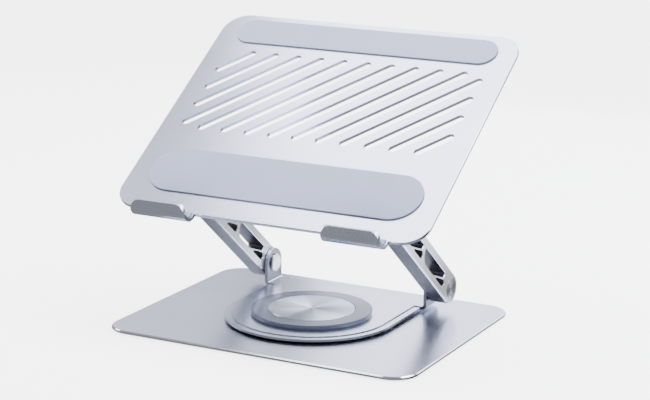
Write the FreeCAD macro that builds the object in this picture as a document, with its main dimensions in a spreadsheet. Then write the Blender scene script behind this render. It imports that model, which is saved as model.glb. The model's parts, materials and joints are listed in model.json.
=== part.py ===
import FreeCAD, Part
import math
import os
import Sketcher
from FreeCAD import Placement, Rotation, Vector

# A folding aluminium laptop stand that turns on its base.
# Frame: millimetres, origin on the desk under the middle of the base, X to the right, Y to the rear, Z up.

doc = FreeCAD.newDocument("laptop_stand")

# ---------------------------------------------------------------- driving dimensions
SIZES = {
    # base and what it stands on
    "base_wide": 272.0,
    "base_deep": 212.5,
    "base_corner": 21.0,
    "base_thick": 3.0,
    "foot_thick": 1.0,
    "foot_long": 44.0,
    "foot_wide": 14.0,
    "foot_inset": 16.0,
    "centre_pad_radius": 30.0,
    "plate_chamfer": 0.8,
    # turntable platform, bent from one sheet
    "platform_gap": 1.8,
    "sheet_thick": 2.8,
    "platform_radius": 71.8,
    "platform_rear": 84.4,
    "platform_corner": 6.0,
    "ledge_wide": 5.9,
    "ledge_drop": 0.8,
    "bend_radius": 1.5,
    "platform_hole": 33.0,
    # thrust ball bearing
    "race_inner": 22.0,
    "race_outer": 31.0,
    "race_recess": 0.5,
    "race_top": 5.8,
    "upper_race_low": 8.2,
    "upper_race_top": 10.0,
    "ball_circle": 26.5,
    "ball_radius": 2.0,
    "groove_radius": 2.05,
    "cage_inner": 23.5,
    "cage_outer": 29.5,
    "cage_thick": 0.8,
    "cage_hole": 2.1,
    # housing, pivot and the parts on top of it
    "web_low": 5.2,
    "web_top": 6.7,
    "well_radius": 16.5,
    "well_wall": 1.5,
    "housing_radius": 36.0,
    "flange_radius": 47.0,
    "flange_thick": 2.0,
    "housing_top": 11.3,
    "screw_circle": 41.5,
    "pivot_radius": 3.0,
    "pivot_head": 5.0,
    "pivot_top": 11.1,
    "bush_bore": 3.06,
    "bush_outer": 4.5,
    "bush_flange": 7.0,
    "bush_flange_thick": 0.5,
    "pivot_washer_rise": 0.35,
    "pivot_washer_thick": 0.6,
    "pivot_nut_radius": 5.77,
    "ring_outer": 50.3,
    "ring_inner": 36.2,
    "cover_top": 12.5,
    "ring_round": 0.9,
    # screws
    "screw_radius": 1.5,
    "screw_head": 2.9,
    "screw_cone": 1.4,
    "screw_long": 4.6,
    # hinges
    "hinge_rear": 71.8,
    "hinge_high": 23.8,
    "arm_rise": 38.1,
    "arm_long": 143.0,
    "arm_radius": 12.6,
    "ear_inner": 74.0,
    "arm_inner": 77.4,
    "arm_thick": 16.0,
    "arm_chamfer": 1.1,
    "window_chamfer": 0.5,
    "pin_radius": 4.0,
    "pin_bore": 4.06,
    "pin_head_radius": 7.9,
    "pin_head_long": 2.1,
    "pin_tip": 91.0,
    "face_gap": 0.05,
    "counterbore_radius": 9.4,
    "counterbore_deep": 10.0,
    "cap_thick": 1.4,
    "friction_radius": 10.0,
    "washer_bore": 4.1,
    "spring_radius": 8.0,
    "spring_thick": 0.8,
    "nut_radius": 7.5,
    "nut_long": 4.9,
    # arm windows, along the arm from the lower hinge and across it
    "window_pitch": 56.1,
    "window_rear": 5.5,
    "window_front": 6.4,
    "window_bow": 9.0,
    "window_corner": 1.2,
    "notch_corner": 0.6,
    # tray, in a frame with its origin on the upper hinge
    "tray_tilt": 33.3,
    "tray_wide": 275.0,
    "tray_deep": 235.0,
    "tray_thick": 3.0,
    "tray_corner": 21.1,
    "hinge_back": 44.4,
    "hinge_drop": 19.2,
    "slot_radius": 3.5,
    "slot_pitch": 21.75,
    "slot_reach": 116.5,
    "slot_low": 95.1,
    "slot_high": 186.8,
    "slot_first": 94.6,
    "pad_thick": 1.5,
    "pad_reach": 120.5,
    "lower_pad_middle": 44.3,
    "lower_pad_radius": 23.8,
    "upper_pad_middle": 213.7,
    "upper_pad_radius": 14.3,
    # hooks that stop the laptop sliding off
    "hook_middle": 84.6,
    "hook_wide": 50.0,
    "hook_bend": 7.0,
    "hook_start": 1.4,
    "hook_lean": 35.0,
    "hook_tip_long": 4.8,
    "hook_corner": 8.5,
    "hook_pad_thick": 1.0,
    "hook_pad_inset": 1.6,
    # brackets under the tray
    "bracket_reach": 24.0,
    "bracket_wide": 40.0,
    "bracket_screw_in": 16.0,
    "bracket_screw_side": 13.0,
}

sheet = doc.addObject("Spreadsheet::Sheet", "sizes")
for row, (alias, number) in enumerate(SIZES.items(), start=1):
    sheet.set(f"A{row}", alias)
    sheet.set(f"B{row}", str(number))
    sheet.setAlias(f"B{row}", alias)
doc.recompute()


class Size:
    """A length or an angle, kept with the expression that works it out from the sheet."""

    def __init__(self, value, text):
        self.value = float(value)
        self.text = text

    def joined(self, other, sign, value):
        return Size(value, f"({self.text} {sign} {other.text})")

    def __add__(self, other):
        other = as_size(other)
        return self.joined(other, "+", self.value + other.value)

    def __sub__(self, other):
        other = as_size(other)
        return self.joined(other, "-", self.value - other.value)

    def __rsub__(self, other):
        return as_size(other) - self

    def __mul__(self, other):
        other = as_size(other)
        return self.joined(other, "*", self.value * other.value)

    def __truediv__(self, other):
        other = as_size(other)
        return self.joined(other, "/", self.value / other.value)

    def __neg__(self):
        return self * -1

    __radd__ = __add__
    __rmul__ = __mul__


def as_size(number):
    """A plain number as a Size; a Size stays as it is."""
    if isinstance(number, Size):
        return number
    return Size(number, f"({number})")


def cos_of(angle):
    return Size(math.cos(math.radians(angle.value)), f"cos({angle.text} * 1 deg)")


def sin_of(angle):
    return Size(math.sin(math.radians(angle.value)), f"sin({angle.text} * 1 deg)")


class Sheet:
    """Gives each cell of the sheet as a Size, by its alias."""

    def __getattr__(self, alias):
        return Size(SIZES[alias], f"sizes.{alias}")


S = Sheet()


# ---------------------------------------------------------------- sketches and features
def bind(obj, prop, size):
    """Set a property to a size and tie it to the sheet."""
    obj.setExpression(prop, as_size(size).text)


def new_body(label):
    body = doc.addObject("PartDesign::Body", label)
    body.Label = label
    return body


def origin_feature(body, role):
    return next(item for item in body.Origin.OriginFeatures if item.Role == role)


def new_sketch(body, plane, name, offset=0):
    """A sketch on one of the body's own planes, moved along the plane's normal."""
    sketch = body.newObject("Sketcher::SketchObject", name)
    sketch.AttachmentSupport = [(origin_feature(body, plane), "")]
    sketch.MapMode = "FlatFace"
    offset = as_size(offset)
    sketch.AttachmentOffset = Placement(Vector(0, 0, offset.value), Rotation())
    sketch.setExpression("AttachmentOffset.Base.z", offset.text)
    return sketch


def driven(sketch, constraint, size):
    number = sketch.addConstraint(constraint)
    sketch.setExpression(f"Constraints[{number}]", size.text)


def fix_point(sketch, edge, end, across, up):
    """Hold one point of a sketch at a place given by two sizes."""
    across = as_size(across)
    up = as_size(up)
    if across.value == 0:
        sketch.addConstraint(Sketcher.Constraint("PointOnObject", edge, end, -2))
    else:
        driven(sketch, Sketcher.Constraint("DistanceX", -1, 1, edge, end, across.value), across)
    if up.value == 0:
        sketch.addConstraint(Sketcher.Constraint("PointOnObject", edge, end, -1))
    else:
        driven(sketch, Sketcher.Constraint("DistanceY", -1, 1, edge, end, up.value), up)


def flat_point(across, up):
    return Vector(as_size(across).value, as_size(up).value, 0)


def add_polygon(sketch, corners):
    """A closed outline of straight lines through corners given as (across, up)."""
    first = sketch.GeometryCount
    count = len(corners)
    for place in range(count):
        start = flat_point(*corners[place])
        end = flat_point(*corners[(place + 1) % count])
        sketch.addGeometry(Part.LineSegment(start, end), False)
    for place in range(count):
        nxt = first + (place + 1) % count
        sketch.addConstraint(Sketcher.Constraint("Coincident", first + place, 2, nxt, 1))
    for place, corner in enumerate(corners):
        fix_point(sketch, first + place, 1, *corner)


def add_circle(sketch, across, up, radius):
    radius = as_size(radius)
    number = sketch.addGeometry(Part.Circle(flat_point(across, up), Vector(0, 0, 1), radius.value), False)
    fix_point(sketch, number, 3, across, up)
    driven(sketch, Sketcher.Constraint("Radius", number, radius.value), radius)


def add_arc(sketch, across, up, radius, start_deg, end_deg):
    """An arc, counter-clockwise, with its centre and radius held and its ends free."""
    radius = as_size(radius)
    circle = Part.Circle(flat_point(across, up), Vector(0, 0, 1), radius.value)
    arc = Part.ArcOfCircle(circle, math.radians(start_deg), math.radians(end_deg))
    number = sketch.addGeometry(arc, False)
    fix_point(sketch, number, 3, across, up)
    driven(sketch, Sketcher.Constraint("Radius", number, radius.value), radius)
    return number


def arc_end(sketch, number, end):
    return sketch.getPoint(number, end)


def add_line_between(sketch, from_edge, from_end, to_edge, to_end, kind="Coincident"):
    """A line from an end of one edge to an end of another, tangent there if asked."""
    start = sketch.getPoint(from_edge, from_end)
    end = sketch.getPoint(to_edge, to_end)
    number = sketch.addGeometry(Part.LineSegment(start, end), False)
    sketch.addConstraint(Sketcher.Constraint(kind, number, 1, from_edge, from_end))
    sketch.addConstraint(Sketcher.Constraint(kind, number, 2, to_edge, to_end))
    return number


def add_stadium(sketch, start, end, radius):
    """A slot outline: two half circles round the two ends, joined by tangent lines."""
    ahead = flat_point(*end) - flat_point(*start)
    angle = math.degrees(math.atan2(ahead.y, ahead.x))
    head = add_arc(sketch, *end, radius, angle - 90, angle + 90)
    tail = add_arc(sketch, *start, radius, angle + 90, angle + 270)
    add_line_between(sketch, head, 2, tail, 1, "Tangent")
    add_line_between(sketch, tail, 2, head, 1, "Tangent")


def add_feature(body, kind, name, sketch=None):
    feature = body.newObject(f"PartDesign::{kind}", name)
    if sketch is not None:
        feature.Profile = sketch
        sketch.Visibility = False
    return feature


def pad(body, sketch, length, name, backwards=False):
    feature = add_feature(body, "Pad", name, sketch)
    bind(feature, "Length", length)
    feature.Reversed = backwards
    doc.recompute()
    return feature


def pocket(body, sketch, length, name, backwards=False):
    """A pocket that has to take some material away."""
    before = body.Shape.Volume
    feature = add_feature(body, "Pocket", name, sketch)
    bind(feature, "Length", length)
    feature.Reversed = backwards
    doc.recompute()
    if not body.Shape.Volume < before - 0.01:
        raise RuntimeError(f"{body.Label}: {name} cuts nothing")
    return feature


def revolve(body, sketch, axis, name):
    feature = add_feature(body, "Revolution", name, sketch)
    feature.ReferenceAxis = (sketch, [axis])
    feature.Angle = 360
    doc.recompute()
    return feature


def edges_where(shape, wanted):
    return [f"Edge{number}" for number, edge in enumerate(shape.Edges, start=1) if wanted(edge)]


def dress(body, kind, prop, size, name, wanted):
    """A fillet or a chamfer on the edges that a test picks."""
    base = body.Tip
    feature = add_feature(body, kind, name)
    feature.Base = (base, edges_where(base.Shape, wanted))
    bind(feature, prop, size)
    doc.recompute()
    return feature


def level_at(axis, *heights):
    """A test for edges that lie flat at one of some heights along an axis."""
    def wanted(edge):
        box = edge.BoundBox
        low = getattr(box, f"{axis}Min")
        high = getattr(box, f"{axis}Max")
        return high - low < 1e-4 and any(abs(low - height) < 1e-3 for height in heights)
    return wanted


def runs_along(axis):
    """A test for straight edges that run along an axis."""
    def wanted(edge):
        box = edge.BoundBox
        length = getattr(box, f"{axis}Length")
        return length > 1e-3 and abs(length - edge.Length) < 1e-4
    return wanted


def round_edge(radius, axis, height):
    """A test for full circles of one radius at one height along an axis."""
    flat = level_at(axis, height)

    def wanted(edge):
        return flat(edge) and isinstance(edge.Curve, Part.Circle) and abs(edge.Curve.Radius - radius) < 1e-3
    return wanted


def move_to(obj, across=0, back=0, up=0, turn=0):
    """Place an object, turned about X first; every number stays tied to the sheet."""
    obj.Placement = Placement(Vector(0, 0, 0), Rotation(Vector(1, 0, 0), as_size(turn).value))
    for axis, size in (("x", across), ("y", back), ("z", up)):
        bind(obj, f"Placement.Base.{axis}", size)
    if as_size(turn).value != 0:
        bind(obj, "Placement.Rotation.Angle", turn)


def turned_upright(label, corners):
    """A turned piece on the vertical axis, from corners given as (radius, height)."""
    body = new_body(label)
    sketch = new_sketch(body, "XZ_Plane", f"{label}_profile")
    add_polygon(sketch, corners)
    revolve(body, sketch, "V_Axis", f"{label}_turned")
    return body


def turned_across(label, corners):
    """A turned piece on the X axis, from corners given as (along X, radius)."""
    body = new_body(label)
    sketch = new_sketch(body, "XZ_Plane", f"{label}_profile")
    add_polygon(sketch, corners)
    revolve(body, sketch, "H_Axis", f"{label}_turned")
    return body


def primitive(kind, name, **sizes):
    item = doc.addObject(f"Part::{kind}", name)
    for prop, size in sizes.items():
        bind(item, prop, size)
    return item


def boolean(kind, name, base, tool):
    item = doc.addObject(f"Part::{kind}", name)
    item.Base = base
    item.Tool = tool
    return item


def group(label, items):
    compound = doc.addObject("Part::Compound", label)
    compound.Label = label
    compound.Links = items
    return compound


NODES = []


def keep(obj):
    NODES.append(obj)
    return obj


# ---------------------------------------------------------------- base
base_top = S.foot_thick + S.base_thick


def make_base_plate():
    """Rounded plate with a chamfered rim, a seat for the lower race and a countersunk pivot hole."""
    body = new_body("base_plate")
    outline = new_sketch(body, "XY_Plane", "base_outline", S.foot_thick)
    across = S.base_wide / 2
    back = S.base_deep / 2
    add_polygon(outline, [(-across, -back), (across, -back), (across, back), (-across, back)])
    pad(body, outline, S.base_thick, "base_pad")
    dress(body, "Fillet", "Radius", S.base_corner, "base_corners", runs_along("Z"))
    rims = level_at("Z", S.foot_thick.value, base_top.value)
    dress(body, "Chamfer", "Size", S.plate_chamfer, "base_rim", rims)
    seat = new_sketch(body, "XY_Plane", "race_seat_outline", base_top)
    add_circle(seat, 0, 0, S.race_inner)
    add_circle(seat, 0, 0, S.race_outer)
    pocket(body, seat, S.race_recess, "race_seat")
    hole = new_sketch(body, "XY_Plane", "pivot_hole_outline", base_top)
    add_circle(hole, 0, 0, S.pivot_radius)
    pocket(body, hole, S.base_thick, "pivot_hole")
    sink = round_edge(S.pivot_radius.value, "Z", S.foot_thick.value)
    dress(body, "Chamfer", "Size", S.pivot_head - S.pivot_radius, "pivot_countersink", sink)
    return body


def make_base_feet():
    """Four silicone strips with round ends, one near each corner."""
    feet = []
    for side in (-1, 1):
        for end in (-1, 1):
            name = f"foot_{'left' if side < 0 else 'right'}_{'front' if end < 0 else 'rear'}"
            foot = new_body(name)
            outline = new_sketch(foot, "XY_Plane", f"{name}_outline")
            outside = side * (S.base_wide / 2 - S.foot_inset - S.foot_wide / 2)
            inside = side * (S.base_wide / 2 - S.foot_inset - S.foot_long)
            line = end * (S.base_deep / 2 - S.foot_inset)
            add_stadium(outline, (inside, line), (outside, line), S.foot_wide / 2)
            pad(foot, outline, S.foot_thick, f"{name}_pad")
            feet.append(foot)
    return group("base_feet", feet)


def make_centre_pad():
    """Round silicone pad that hides the pivot's head and shares the load."""
    body = new_body("base_centre_pad")
    outline = new_sketch(body, "XY_Plane", "centre_pad_outline")
    add_circle(outline, 0, 0, S.centre_pad_radius)
    pad(body, outline, S.foot_thick, "centre_pad_pad")
    return body


keep(make_base_plate())
keep(make_base_feet())
keep(make_centre_pad())

# ---------------------------------------------------------------- thrust bearing and pivot
ball_middle = (S.race_top + S.upper_race_low) / 2
BALLS = 20


def make_race(label, low, high):
    """A flat steel ring with a round ball groove."""
    corners = [(S.race_inner, low), (S.race_outer, low), (S.race_outer, high), (S.race_inner, high)]
    body = turned_upright(label, corners)
    before = body.Shape.Volume
    ball_line = new_sketch(body, "XZ_Plane", f"{label}_groove_circle")
    add_circle(ball_line, S.ball_circle, ball_middle, S.groove_radius)
    groove = add_feature(body, "Groove", f"{label}_groove", ball_line)
    groove.ReferenceAxis = (ball_line, ["V_Axis"])
    groove.Angle = 360
    doc.recompute()
    if not body.Shape.Volume < before - 0.01:
        raise RuntimeError(f"{label}: the groove cuts nothing")
    return body


def make_cage():
    """Thin ring that keeps the balls evenly apart."""
    body = new_body("ball_cage")
    outline = new_sketch(body, "XY_Plane", "cage_outline", ball_middle - S.cage_thick / 2)
    add_circle(outline, 0, 0, S.cage_inner)
    add_circle(outline, 0, 0, S.cage_outer)
    pad(body, outline, S.cage_thick, "cage_pad")
    hole = new_sketch(body, "XY_Plane", "cage_hole_outline", ball_middle + S.cage_thick / 2)
    add_circle(hole, S.ball_circle, 0, S.cage_hole)
    first = pocket(body, hole, S.cage_thick, "cage_hole")
    pattern = add_feature(body, "PolarPattern", "cage_holes")
    pattern.Originals = [first]
    pattern.Axis = (origin_feature(body, "Z_Axis"), [""])
    pattern.Angle = 360
    pattern.Occurrences = BALLS
    body.Tip = pattern
    doc.recompute()
    return body


def make_balls():
    balls = []
    for number in range(BALLS):
        turn = as_size(360 * number / BALLS)
        ball = primitive("Sphere", f"ball_{number + 1}", Radius=S.ball_radius)
        move_to(ball, S.ball_circle * cos_of(turn), S.ball_circle * sin_of(turn), ball_middle)
        balls.append(ball)
    return group("bearing_balls", balls)


def make_housing():
    """Turned cap: a flange on the platform, a pocket for the upper race and a well for the nut."""
    flange_low = base_top + S.platform_gap + S.sheet_thick
    well_outer = S.well_radius + S.well_wall
    body = turned_upright("bearing_housing", [
        (S.bush_outer, S.web_low),
        (well_outer, S.web_low),
        (well_outer, S.upper_race_top),
        (S.race_outer, S.upper_race_top),
        (S.race_outer, flange_low),
        (S.flange_radius, flange_low),
        (S.flange_radius, flange_low + S.flange_thick),
        (S.housing_radius, flange_low + S.flange_thick),
        (S.housing_radius, S.housing_top),
        (S.well_radius, S.housing_top),
        (S.well_radius, S.web_top),
        (S.bush_outer, S.web_top),
    ])
    drill_screw_circle(body, flange_low + S.flange_thick, S.flange_thick)
    sink = round_edge(S.screw_radius.value, "Z", (flange_low + S.flange_thick).value)
    dress(body, "Chamfer", "Size", S.screw_cone, "housing_countersinks", sink)
    return body


SCREWS = 6


def drill_screw_circle(body, top, deep):
    """Six holes for the screws that hold the housing to the platform."""
    hole = new_sketch(body, "XY_Plane", f"{body.Label}_screw_outline", top)
    add_circle(hole, S.screw_circle, 0, S.screw_radius)
    first = pocket(body, hole, deep, f"{body.Label}_screw_hole")
    pattern = add_feature(body, "PolarPattern", f"{body.Label}_screw_holes")
    pattern.Originals = [first]
    pattern.Axis = (origin_feature(body, "Z_Axis"), [""])
    pattern.Angle = 360
    pattern.Occurrences = SCREWS
    body.Tip = pattern
    doc.recompute()


def make_screw(name, across, back, top, long):
    """A countersunk screw, head up, as a cone on a shank."""
    head = primitive("Cone", f"{name}_head",
                     Radius1=S.screw_radius, Radius2=S.screw_head, Height=S.screw_cone)
    move_to(head, across, back, top - S.screw_cone)
    shank = primitive("Cylinder", f"{name}_shank", Radius=S.screw_radius, Height=long - S.screw_cone)
    move_to(shank, across, back, top - long)
    return boolean("Fuse", name, head, shank)


def make_housing_screws():
    top = base_top + S.platform_gap + S.sheet_thick + S.flange_thick
    screws = []
    for number in range(SCREWS):
        turn = as_size(360 * number / SCREWS)
        across = S.screw_circle * cos_of(turn)
        back = S.screw_circle * sin_of(turn)
        screws.append(make_screw(f"housing_screw_{number + 1}", across, back, top, S.screw_long))
    return group("housing_screws", screws)


def make_pivot_bush():
    return turned_upright("pivot_bush", [
        (S.bush_bore, S.web_low),
        (S.bush_outer, S.web_low),
        (S.bush_outer, S.web_top),
        (S.bush_flange, S.web_top),
        (S.bush_flange, S.web_top + S.bush_flange_thick),
        (S.bush_bore, S.web_top + S.bush_flange_thick),
    ])


def make_pivot_bolt():
    cone = S.pivot_head - S.pivot_radius
    return turned_upright("pivot_bolt", [
        (0, S.foot_thick),
        (S.pivot_head, S.foot_thick),
        (S.pivot_radius, S.foot_thick + cone),
        (S.pivot_radius, S.pivot_top),
        (0, S.pivot_top),
    ])


pivot_washer_low = S.web_top + S.bush_flange_thick + S.face_gap
pivot_washer_top = pivot_washer_low + S.pivot_washer_rise + S.pivot_washer_thick


def make_pivot_washer():
    """A dished spring washer: its rim presses the bush flange, its middle carries the nut."""
    return turned_upright("pivot_spring_washer", [
        (S.pivot_radius, pivot_washer_low + S.pivot_washer_rise),
        (S.bush_flange, pivot_washer_low),
        (S.bush_flange, pivot_washer_low + S.pivot_washer_thick),
        (S.pivot_radius, pivot_washer_top),
    ])


def make_pivot_nut():
    high = S.pivot_top - pivot_washer_top
    outside = primitive("Prism", "pivot_nut_outside", Circumradius=S.pivot_nut_radius, Height=high)
    outside.Polygon = 6
    hole = primitive("Cylinder", "pivot_nut_hole", Radius=S.pivot_radius, Height=high)
    nut = boolean("Cut", "pivot_nut", outside, hole)
    move_to(nut, up=pivot_washer_top)
    return nut


keep(make_race("bearing_lower_race", base_top - S.race_recess, S.race_top))
keep(make_race("bearing_upper_race", S.upper_race_low, S.upper_race_top))
keep(make_cage())
keep(make_balls())
keep(make_housing())
keep(make_housing_screws())
keep(make_pivot_bush())
keep(make_pivot_bolt())
keep(make_pivot_washer())
keep(make_pivot_nut())

# ---------------------------------------------------------------- turntable platform and its cover
platform_low = base_top + S.platform_gap
platform_top = platform_low + S.sheet_thick


def add_platform_outline(sketch, inset):
    """Half circle in front, straight sides and a straight rear edge."""
    radius = S.platform_radius - inset
    rear = S.platform_rear - inset
    arc = add_arc(sketch, 0, 0, radius, 180, 360)
    first = sketch.GeometryCount
    right = flat_point(radius, rear)
    left = flat_point(-radius, rear)
    sketch.addGeometry(Part.LineSegment(arc_end(sketch, arc, 2), right), False)
    sketch.addGeometry(Part.LineSegment(right, left), False)
    sketch.addGeometry(Part.LineSegment(left, arc_end(sketch, arc, 1)), False)
    sketch.addConstraint(Sketcher.Constraint("Tangent", arc, 2, first, 1))
    sketch.addConstraint(Sketcher.Constraint("Coincident", first, 2, first + 1, 1))
    sketch.addConstraint(Sketcher.Constraint("Coincident", first + 1, 2, first + 2, 1))
    sketch.addConstraint(Sketcher.Constraint("Tangent", first + 2, 2, arc, 1))
    fix_point(sketch, first + 1, 1, radius, rear)
    fix_point(sketch, first + 1, 2, -radius, rear)


def add_bend_profile(sketch):
    """Sheet that leaves the platform sideways and turns up into the ear."""
    bend_across = S.ear_inner - S.bend_radius
    bend_up = platform_top + S.bend_radius
    root = S.platform_radius - S.ledge_wide
    outer = add_arc(sketch, bend_across, bend_up, S.bend_radius + S.sheet_thick, 270, 360)
    inner = add_arc(sketch, bend_across, bend_up, S.bend_radius, 270, 360)
    first = sketch.GeometryCount
    low_root = flat_point(root, platform_low)
    top_root = flat_point(root, platform_top)
    sketch.addGeometry(Part.LineSegment(low_root, arc_end(sketch, outer, 1)), False)
    sketch.addGeometry(Part.LineSegment(arc_end(sketch, outer, 2), arc_end(sketch, inner, 2)), False)
    sketch.addGeometry(Part.LineSegment(arc_end(sketch, inner, 1), top_root), False)
    sketch.addGeometry(Part.LineSegment(top_root, low_root), False)
    sketch.addConstraint(Sketcher.Constraint("Tangent", first, 2, outer, 1))
    sketch.addConstraint(Sketcher.Constraint("Coincident", first + 1, 1, outer, 2))
    sketch.addConstraint(Sketcher.Constraint("Coincident", first + 1, 2, inner, 2))
    sketch.addConstraint(Sketcher.Constraint("Horizontal", first + 1))
    sketch.addConstraint(Sketcher.Constraint("Tangent", first + 2, 1, inner, 1))
    sketch.addConstraint(Sketcher.Constraint("Coincident", first + 2, 2, first + 3, 1))
    sketch.addConstraint(Sketcher.Constraint("Coincident", first + 3, 2, first, 1))
    driven(sketch, Sketcher.Constraint("DistanceY", -1, 1, outer, 2, bend_up.value), bend_up)
    fix_point(sketch, first, 1, root, platform_low)
    fix_point(sketch, first + 2, 2, root, platform_top)


def add_ear_outline(sketch, middle, root, top, upright=1):
    """A tongue with a round end: straight from its root, round about the hinge axis."""
    start = 0 if upright > 0 else 180
    arc = add_arc(sketch, middle, top, S.arm_radius, start, start + 180)
    first = sketch.GeometryCount
    one = flat_point(middle + upright * S.arm_radius, root)
    two = flat_point(middle - upright * S.arm_radius, root)
    sketch.addGeometry(Part.LineSegment(one, arc_end(sketch, arc, 1)), False)
    sketch.addGeometry(Part.LineSegment(arc_end(sketch, arc, 2), two), False)
    sketch.addGeometry(Part.LineSegment(two, one), False)
    sketch.addConstraint(Sketcher.Constraint("Tangent", first, 2, arc, 1))
    sketch.addConstraint(Sketcher.Constraint("Tangent", first + 1, 1, arc, 2))
    sketch.addConstraint(Sketcher.Constraint("Coincident", first + 1, 2, first + 2, 1))
    sketch.addConstraint(Sketcher.Constraint("Coincident", first + 2, 2, first, 1))
    fix_point(sketch, first, 1, middle + upright * S.arm_radius, root)
    fix_point(sketch, first + 1, 2, middle - upright * S.arm_radius, root)


def make_platform():
    """One bent sheet: plate with a machined ledge, and two ears that carry the arms."""
    body = new_body("turntable_platform")
    outline = new_sketch(body, "XY_Plane", "platform_outline", platform_low)
    add_platform_outline(outline, as_size(0))
    pad(body, outline, S.sheet_thick - S.ledge_drop, "platform_ledge")
    dress(body, "Fillet", "Radius", S.platform_corner, "platform_corners", runs_along("Z"))
    inner = new_sketch(body, "XY_Plane", "platform_inner_outline", platform_low)
    add_platform_outline(inner, S.ledge_wide)
    pad(body, inner, S.sheet_thick, "platform_plate")
    bend = new_sketch(body, "XZ_Plane", "ear_bend_profile", -(S.hinge_rear - S.arm_radius))
    add_bend_profile(bend)
    bend_pad = pad(body, bend, S.arm_radius * 2, "ear_bend", backwards=True)
    ear = new_sketch(body, "YZ_Plane", "ear_outline", S.ear_inner)
    add_ear_outline(ear, S.hinge_rear, platform_top + S.bend_radius, S.hinge_high)
    ear_pad = pad(body, ear, S.sheet_thick, "ear_plate")
    other_side = add_feature(body, "Mirrored", "ear_other_side")
    other_side.Originals = [bend_pad, ear_pad]
    other_side.MirrorPlane = (origin_feature(body, "YZ_Plane"), [""])
    body.Tip = other_side
    doc.recompute()
    holes = new_sketch(body, "YZ_Plane", "ear_hole_outline", S.arm_inner)
    add_circle(holes, S.hinge_rear, S.hinge_high, S.pin_bore)
    pocket(body, holes, S.arm_inner * 2, "ear_holes")
    middle = new_sketch(body, "XY_Plane", "platform_hole_outline", platform_top)
    add_circle(middle, 0, 0, S.platform_hole)
    pocket(body, middle, S.sheet_thick, "platform_hole")
    drill_screw_circle(body, platform_top, S.sheet_thick)
    return body


def make_ring():
    """Silicone ring with a rounded shoulder; it hides the housing's flange and screws."""
    over_flange = platform_top + S.flange_thick
    body = turned_upright("turntable_ring", [
        (S.flange_radius, platform_top),
        (S.ring_outer, platform_top),
        (S.ring_outer, S.cover_top),
        (S.ring_inner, S.cover_top),
        (S.ring_inner, over_flange),
        (S.flange_radius, over_flange),
    ])
    shoulder = round_edge(S.ring_outer.value, "Z", S.cover_top.value)
    dress(body, "Fillet", "Radius", S.ring_round, "ring_shoulder", shoulder)
    return body


def make_cover_disc():
    """Spun aluminium disc in the middle of the ring."""
    chamfer = (S.cover_top - S.housing_top) / 3
    return turned_upright("turntable_disc", [
        (0, S.housing_top),
        (S.housing_radius, S.housing_top),
        (S.housing_radius, S.cover_top - chamfer),
        (S.housing_radius - chamfer, S.cover_top),
        (0, S.cover_top),
    ])


keep(make_platform())
keep(make_ring())
keep(make_cover_disc())

# ---------------------------------------------------------------- hinge stacks
upper_back = S.hinge_rear - S.arm_long * cos_of(S.arm_rise)
upper_high = S.hinge_high + S.arm_long * sin_of(S.arm_rise)
ear_outer = S.ear_inner + S.sheet_thick
arm_outer = S.arm_inner + S.arm_thick
counterbore_floor = arm_outer - S.counterbore_deep
SIDES = (("left", -1), ("right", 1))
LEVELS = (("lower", S.hinge_rear, S.hinge_high), ("upper", upper_back, upper_high))


def make_pin(label, side, head_gap):
    """Hinge pin: a low round head inside the ear and a shank out through the arm."""
    head_low = S.ear_inner - S.pin_head_long
    head_top = S.ear_inner - head_gap
    bevel = S.pin_head_long / 3
    tip = bevel / 2
    return turned_across(label, [
        (side * head_low, 0),
        (side * head_low, S.pin_head_radius - bevel),
        (side * (head_low + bevel), S.pin_head_radius),
        (side * head_top, S.pin_head_radius),
        (side * head_top, S.pin_radius),
        (side * (S.pin_tip - tip), S.pin_radius),
        (side * S.pin_tip, S.pin_radius - tip),
        (side * S.pin_tip, 0),
    ])


def ring_across(name, kind, side, start, long, **radii):
    """A washer with its axis along X, from its start out towards the arm's outer face."""
    outside = primitive(kind, f"{name}_outside", Height=long, **radii)
    hole = primitive("Cylinder", f"{name}_hole", Radius=S.washer_bore, Height=long)
    ring = boolean("Cut", name, outside, hole)
    ring.Placement = Placement(Vector(0, 0, 0), Rotation(Vector(0, 1, 0), 90 * side))
    bind(ring, "Placement.Base.x", side * start)
    return ring


def make_friction_washers(level):
    start = ear_outer + S.face_gap
    long = S.arm_inner - ear_outer - 2 * S.face_gap
    rings = []
    for word, side in SIDES:
        name = f"{level}_friction_{word}"
        rings.append(ring_across(name, "Cylinder", side, start, long, Radius=S.friction_radius))
    return group(f"{level}_friction_washers", rings)


def make_spring_washers(level):
    """Two dished washers on each pin, set rim to rim."""
    rings = []
    start = counterbore_floor + S.face_gap
    small = S.spring_radius - S.spring_thick / 2
    for word, side in SIDES:
        first = f"{level}_spring_{word}_inner"
        second = f"{level}_spring_{word}_outer"
        rings.append(ring_across(first, "Cone", side, start, S.spring_thick,
                                 Radius1=small, Radius2=S.spring_radius))
        rings.append(ring_across(second, "Cone", side, start + S.spring_thick, S.spring_thick,
                                 Radius1=S.spring_radius, Radius2=small))
    return group(f"{level}_spring_washers", rings)


def make_lock_nuts(level):
    nuts = []
    start = counterbore_floor + S.face_gap + 2 * S.spring_thick
    for word, side in SIDES:
        name = f"{level}_nut_{word}"
        outside = primitive("Prism", f"{name}_outside", Circumradius=S.nut_radius, Height=S.nut_long)
        outside.Polygon = 6
        hole = primitive("Cylinder", f"{name}_hole", Radius=S.pin_radius, Height=S.nut_long)
        nut = boolean("Cut", name, outside, hole)
        nut.Placement = Placement(Vector(0, 0, 0), Rotation(Vector(0, 1, 0), 90 * side))
        bind(nut, "Placement.Base.x", side * start)
        nuts.append(nut)
    return group(f"{level}_lock_nuts", nuts)


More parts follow.
